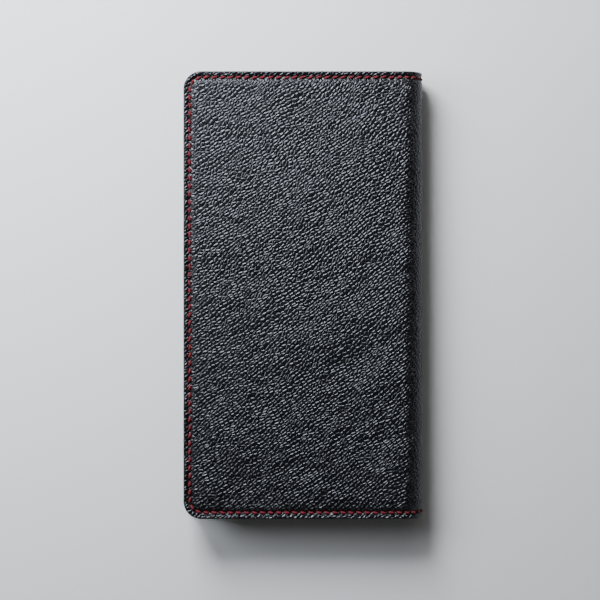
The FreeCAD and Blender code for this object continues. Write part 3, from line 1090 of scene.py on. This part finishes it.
class WALLET_OT_card_panel(bpy.types.Operator):
    """Lays the base panel behind the card slips, with the note pocket under it"""

    bl_idname = "wallet.card_panel"
    bl_label = "Card panel"

    def execute(self, context):
        mouth = [BASE_REACH - d for d in mouth_stations()][::-1]
        reaches = left_stations() + spaced(top_start(), mouth[0], 2.5 * MM) + mouth[1:]
        runs = [WHOLE - r for r in reversed(reaches)]

        def outer(run, along, edge):
            way = BASE_REACH - (WHOLE - run)
            return BASE_DEPTH + rim(way, 0.2 * MM) + rim(edge, 0.2 * MM)

        def inner(run, along, edge):
            way = BASE_REACH - (WHOLE - run)
            return CARD_FACE - mouth_relief(way, 0.25 * MM, 0.1 * MM) - rim(edge, 0.25 * MM)

        alongs = along_stations(step_share=0.5)
        piece, run = lay_leather("card_base_leather", runs, alongs, outer, inner)
        trim_edge_value(piece, BASE_REACH - (WHOLE - run))
        use_material(piece, pocket_hide, "pocket_hide")
        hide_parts("card_base_panel")
        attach(piece, "front_cover")
        return {"FINISHED"}


class WALLET_OT_card_slips(bpy.types.Operator):
    """Lays the card slips over each other, each with a creased and painted mouth"""

    bl_idname = "wallet.card_slips"
    bl_label = "Card slips"

    def execute(self, context):
        for number in range(1, CARD_STRIPS + 1):
            top, foot = STRIP_REACH[number - 1], STRIP_FOOT[number - 1]
            full = number == CARD_STRIPS
            mouth = [top - d for d in mouth_stations()][::-1]
            steps = [top - TAB_DEPTH + d * MM for d in (0.0, 0.4, 0.9, 1.4, 2.0, 3.0)]
            feet = [f + d * MM for f in STRIP_FOOT[: number - 1] for d in (-1.8, -1.0, -0.4, 0.4)]
            start = left_stations() if full else [foot, foot + 0.3 * MM, foot + 0.8 * MM]
            wanted = start + spaced(start[-1] + 1 * MM, mouth[0], 2.2 * MM) + steps + feet + mouth
            reaches = thin_out(wanted, 0.07 * MM, foot, top)

            def to_tee(run, along, top=top, foot=foot):
                reach = WHOLE - run
                edge = HALF_HEIGHT - np.abs(along)
                inwards = smooth(BOARD_INSET - 0.1 * MM, BOARD_INSET + 1.2 * MM, edge)
                length = TAB_DEPTH + (top - foot - TAB_DEPTH) * inwards
                return WHOLE - (top - (top - reach) * length / (top - foot)), along

            def outer(run, along, edge, number=number, top=top):
                reach = WHOLE - run
                return CARD_FACE + card_level(number, reach, along) + rim(top - reach, 0.15 * MM)

            def inner(run, along, edge, number=number, top=top):
                reach = WHOLE - run
                level = CARD_FACE + card_level(number, reach, along) + STRIP_THICKNESS
                return level - mouth_relief(top - reach, 0.25 * MM, 0.1 * MM) - rim(edge, 0.2 * MM)

            runs = [WHOLE - r for r in reversed(reaches)]
            alongs = along_stations(step_share=0.5)
            name = f"card_slip_{number}"
            cut = None if full else to_tee
            piece, run = lay_leather(name, runs, alongs, outer, inner, shift=cut)
            trim_edge_value(piece, top - (WHOLE - run))
            use_material(piece, pocket_hide, "pocket_hide")
            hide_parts(f"card_strip_{number}")
            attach(piece, "front_cover")
        return {"FINISHED"}


def thin_out(stations, least, low, high):
    """Sorted stations without those nearer than least to the one before; the two ends stay."""
    kept = [low]
    for station in sorted(stations):
        if station - kept[-1] > least and high - station > least:
            kept.append(station)
    return kept + [high]


# ---- stitching ----


def model_stitch():
    """One stitch of unit length and unit radius along X, plump in the middle and drawn in at its ends."""
    deselect()
    stations = (0.0, 0.09, 0.25, 0.5, 0.75, 0.91, 1.0)
    plump = (0.50, 0.84, 1.0, 1.04, 1.0, 0.84, 0.50)
    bpy.ops.mesh.primitive_circle_add(
        vertices=8, radius=plump[0], fill_type="NGON", rotation=(0, math.pi / 2, 0)
    )
    piece = bpy.context.object
    bpy.ops.object.mode_set(mode="EDIT")
    bpy.ops.mesh.select_all(action="SELECT")
    for k in range(1, len(stations)):
        way = stations[k] - stations[k - 1]
        grow = plump[k] / plump[k - 1]
        bpy.ops.mesh.extrude_region_move(TRANSFORM_OT_translate={"value": (way, 0, 0)})
        bpy.ops.transform.resize(value=(1, grow, grow), center_override=(stations[k], 0, 0))
    bpy.ops.mesh.select_all(action="SELECT")
    bpy.ops.mesh.normals_make_consistent(inside=False)
    bpy.ops.object.mode_set(mode="OBJECT")
    bpy.ops.object.transform_apply(location=True, rotation=True, scale=True)
    mesh = piece.data
    shape = vertex_places(mesh)
    faces = [tuple(face.vertices) for face in mesh.polygons]
    bpy.data.objects.remove(piece)
    return shape, faces


class Stitches:
    """Stitches of one seam, gathered by the bodies they ride on and made into a piece for each."""

    def __init__(self, shape, faces):
        self.shape = shape
        self.faces = faces
        self.found = {}
        self.random = np.random.default_rng(7)

    def add(self, key, start, end, depth_of, side, slant):
        """A stitch from start to end, both (run, along). depth_of gives the face's depth, and side is -1
        for a stitch on the face that looks outwards and 1 for one on the inside."""
        start, end = np.array(start), np.array(end)
        way = end - start
        length = np.hypot(*way)
        tangent = way / length
        across = np.array([-tangent[1], tangent[0]])
        radius = stitching().thread / 2 * (1 + 0.05 * self.random.standard_normal())
        slant = slant + math.radians(1.6) * self.random.standard_normal()
        nudge = 0.05 * MM * self.random.standard_normal()
        t = self.shape[:, 0]
        along_way = 0.09 + 0.82 * t
        sideways = self.shape[:, 1] * radius + (t - 0.5) * length * math.tan(slant) + nudge
        spot = start + along_way[:, None] * way + sideways[:, None] * across
        middle = start + along_way[:, None] * way
        face = depth_of(middle[:, 0], middle[:, 1])
        dip = (2 * np.abs(t - 0.5)) ** 2.4
        lift = 0.5 * radius - 1.1 * radius * dip
        depth = face + side * (lift + self.shape[:, 2] * radius)
        x, z = section(spot[:, 0], depth)
        # share of painted shade towards the stitch's ends, where it dips into its hole
        hole_shade = smooth(0.36, 0.5, np.abs(t - 0.5))
        self.found.setdefault(key, []).append((x, spot[:, 1], z, t * length, hole_shade))

    def make(self, key, name):
        stitches = self.found[key]
        count = len(self.shape)
        x, y, z, travel, hole_shade = (np.concatenate([s[k] for s in stitches]) for k in range(5))
        faces = [tuple(v + n * count for v in face) for n in range(len(stitches)) for face in self.faces]
        mesh = bpy.data.meshes.new(name)
        mesh.from_pydata(np.stack([x, y, z], axis=1).tolist(), [], faces)
        piece = bpy.data.objects.new(name, mesh)
        bpy.context.scene.collection.objects.link(piece)
        turn = np.arctan2(self.shape[:, 2], self.shape[:, 1]) / (2 * math.pi)
        layer = mesh.uv_layers.new(name="Thread")
        starts = self.random.random(len(stitches))
        for face in mesh.polygons:
            corners = [turn[v % count] for v in face.vertices]
            wraps = max(corners) - min(corners) > 0.5
            for loop, vertex in zip(face.loop_indices, face.vertices):
                share = turn[vertex % count]
                share += 1.0 if wraps and share < 0 else 0.0
                layer.data[loop].uv = (travel[vertex] + starts[vertex // count] * 0.01, share)
        store_point_value(mesh, "hole_shade", hole_shade)
        turn_outwards(piece)
        shade_smooth(piece, 70)
        use_material(piece, waxed_thread, "waxed_thread")
        return piece


def outer_face(run, along):
    """Depth of the groove on the outer face."""
    edge = np.full_like(run, leather().seam_inset)
    return margin_depth(run, along, edge)


def rear_inner_face(run, along):
    return np.where(run < GUSSET_REACH, INNER_FACE + GUSSET_LEATHER, INNER_FACE)


def front_inner_face(run, along):
    return card_surface(WHOLE - run, along)


def divider_face(run, along):
    """The slips' face where the dividing seam pulls it in."""
    return front_inner_face(run, along) - 0.15 * MM


def pocket_face(run, along):
    return np.full_like(run, POCKET_TOP - 0.28 * MM)


def pocket_underside(run, along):
    return np.full_like(run, GUSSET_TOP - GUSSET_LEATHER)


def cover_holes(stop):
    """Run and along of the holes of a cover's seam, from its opening edge, one row for each way round.
    The first hole is at the middle of the opening edge."""
    inset = leather().seam_inset
    rows = []
    for sign in (1, -1):
        row = []
        for k in range(round(seam_length() / pitch()) + 1):
            run, along, _ = around(sign * k * pitch(), inset)
            if run <= stop + 0.1 * MM:
                row.append((run, along))
        rows.append(row)
    return rows


class WALLET_OT_stitches(bpy.types.Operator):
    """Sews the saddle stitching round the covers and over the spine"""

    bl_idname = "wallet.stitches"
    bl_label = "Saddle stitching"

    def execute(self, context):
        seam = Stitches(*model_stitch())
        slant = stitching().slant
        for row in cover_holes(FLAT):
            lean = -slant if row[1][1] > 0 else slant
            for start, end in zip(row, row[1:]):
                seam.add(0, start, end, outer_face, -1, lean)
                seam.add(0, start, end, rear_inner_face, 1, -lean)
                over, back = (WHOLE - start[0], start[1]), (WHOLE - end[0], end[1])
                seam.add(3, over, back, outer_face, -1, lean)
                seam.add(3, over, back, front_inner_face, 1, -lean)
        inset = HALF_HEIGHT - leather().seam_inset
        for k in range(2 * SEGMENTS):
            start, end = FLAT + k * fold_pitch(), FLAT + (k + 1) * fold_pitch()
            for along in (-inset, inset):
                seam.add(k // 2, (start, along), (end, along), outer_face, -1, slant)
                seam.add(k // 2, (start, along), (end, along), spine_inner_face, 1, -slant)
        names = ("rear_stitches", "spine_stitches_lower", "spine_stitches_upper", "front_stitches")
        nodes = stretch_nodes("rear_seam_thread", "spine_thread", "front_seam_thread")
        for stretch in range(SEGMENTS):
            piece = seam.make(stretch, names[stretch])
            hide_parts(*nodes[stretch])
            bend_over(piece, stretch)
        return {"FINISHED"}


def spine_inner_face(run, along):
    return np.full_like(run, INNER_FACE)


class WALLET_OT_pocket_stitches(bpy.types.Operator):
    """Sews the phone pocket to its gusset and divides the card slips"""

    bl_idname = "wallet.pocket_stitches"
    bl_label = "Pocket stitching"

    def execute(self, context):
        seam = Stitches(*model_stitch())
        slant = stitching().slant
        for row in cover_holes(POCKET_REACH - 0.8 * MM):
            lean = slant if row[1][1] > 0 else -slant
            for start, end in zip(row, row[1:]):
                seam.add("pocket", start, end, pocket_face, 1, lean)
                seam.add("pocket", start, end, pocket_underside, -1, -lean)
        piece = seam.make("pocket", "phone_pocket_stitches")
        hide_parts("phone_pocket_thread")
        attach(piece, "rear_cover")
        low, high = BOARD_INSET, STRIP_REACH[0] + 1.4 * MM
        count = round((high - low) / pitch())
        holes = np.linspace(WHOLE - low, WHOLE - high, count + 1)
        for start, end in zip(holes, holes[1:]):
            seam.add("divider", (start, 0.0), (end, 0.0), divider_face, 1, slant)
        piece = seam.make("divider", "card_divider_stitches")
        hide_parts("card_divider_thread")
        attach(piece, "front_cover")
        return {"FINISHED"}


# ---- the studio ----


def add_lamp(name, place, target, size, energy, colour):
    data = bpy.data.lights.new(name, "AREA")
    data.shape = "RECTANGLE"
    data.size, data.size_y = size
    data.energy = energy
    data.color = colour
    lamp = bpy.data.objects.new(name, data)
    bpy.context.scene.collection.objects.link(lamp)
    lamp.location = place
    lamp.rotation_euler = (Vector(target) - Vector(place)).to_track_quat("-Z", "Y").to_euler()


class WALLET_OT_studio(bpy.types.Operator):
    """Sets the pale floor, the soft lamps and the camera"""

    bl_idname = "wallet.studio"
    bl_label = "Studio"

    def execute(self, context):
        studio = context.scene.wallet_studio
        deselect()
        bpy.ops.mesh.primitive_grid_add(
            x_subdivisions=FLOOR_CELLS, y_subdivisions=FLOOR_CELLS, size=FLOOR_SIDE
        )
        floor = context.object
        floor.name = "studio_floor"
        x, y, _ = vertex_places(floor.data).T
        sweep = 0.45 * smooth(0.8, FLOOR_SIDE / 2, np.hypot(x, y))
        put_vertices(floor.data, x, y, LOW.z - 0.05 * MM + sweep)
        bpy.ops.object.shade_smooth()
        s = Shader("studio_floor")
        grain = s.noise(s.place(), (900, 900, 900), 2.0)
        shade = s.mix(grain, (0.57, 0.57, 0.565), (0.60, 0.60, 0.595))
        floor.data.materials.append(s.finish(shade, grain * 0.1 + 0.85))
        camera = bpy.data.cameras.new("studio_camera")
        camera.sensor_width = 36
        camera.lens = camera.sensor_width * studio.camera_height / studio.view_width
        camera.clip_start = 0.01
        view = bpy.data.objects.new("studio_camera", camera)
        context.scene.collection.objects.link(view)
        view.location = (*VIEW_CENTRE, HIGH.z + studio.camera_height)
        context.scene.camera = view
        for lamp in LAMPS:
            add_lamp(*lamp)
        for x, y, watts in FAR_LAMPS:
            place, aim = (0.45 * x, 0.45 * y, 0.8), (2 * x, 2 * y, 0.8)
            add_lamp(f"far_lamp_{x}_{y}", place, aim, (0.4, 0.2), watts, WHITE)
        world = bpy.data.worlds.new("studio_air")
        world.use_nodes = True
        air = world.node_tree.nodes["Background"]
        air.inputs["Color"].default_value = (*WHITE, 1)
        air.inputs["Strength"].default_value = 0.02
        context.scene.world = world
        return {"FINISHED"}


OPERATORS = (
    WALLET_OT_outer_leather,
    WALLET_OT_lining,
    WALLET_OT_spine_strip,
    WALLET_OT_boards,
    WALLET_OT_phone_gusset,
    WALLET_OT_phone_pocket,
    WALLET_OT_card_panel,
    WALLET_OT_card_slips,
    WALLET_OT_stitches,
    WALLET_OT_pocket_stitches,
    WALLET_OT_studio,
)


class WALLET_PT_panel(bpy.types.Panel):
    """Lists the wallet's sizes and the steps that make it"""

    bl_idname = "WALLET_PT_panel"
    bl_label = "Phone wallet case"
    bl_space_type = "VIEW_3D"
    bl_region_type = "UI"
    bl_category = "Wallet"

    def draw(self, context):
        scene = context.scene
        for group in (scene.wallet_leather, scene.wallet_stitching, scene.wallet_studio):
            box = self.layout.box()
            for name in group.__annotations__:
                box.prop(group, name)
        column = self.layout.column(align=True)
        for operator in OPERATORS:
            column.operator(operator.bl_idname)


CLASSES = (WalletLeather, WalletStitching, WalletStudio, *OPERATORS, WALLET_PT_panel)


def register():
    for cls in CLASSES:
        bpy.utils.register_class(cls)
    bpy.types.Scene.wallet_leather = PointerProperty(type=WalletLeather)
    bpy.types.Scene.wallet_stitching = PointerProperty(type=WalletStitching)
    bpy.types.Scene.wallet_studio = PointerProperty(type=WalletStudio)


def unregister():
    del bpy.types.Scene.wallet_studio
    del bpy.types.Scene.wallet_stitching
    del bpy.types.Scene.wallet_leather
    for cls in reversed(CLASSES):
        bpy.utils.unregister_class(cls)


def main():
    register()
    for operator in OPERATORS:
        group, name = operator.bl_idname.split(".")
        getattr(getattr(bpy.ops, group), name)()


if __name__ == "__main__":
    main()
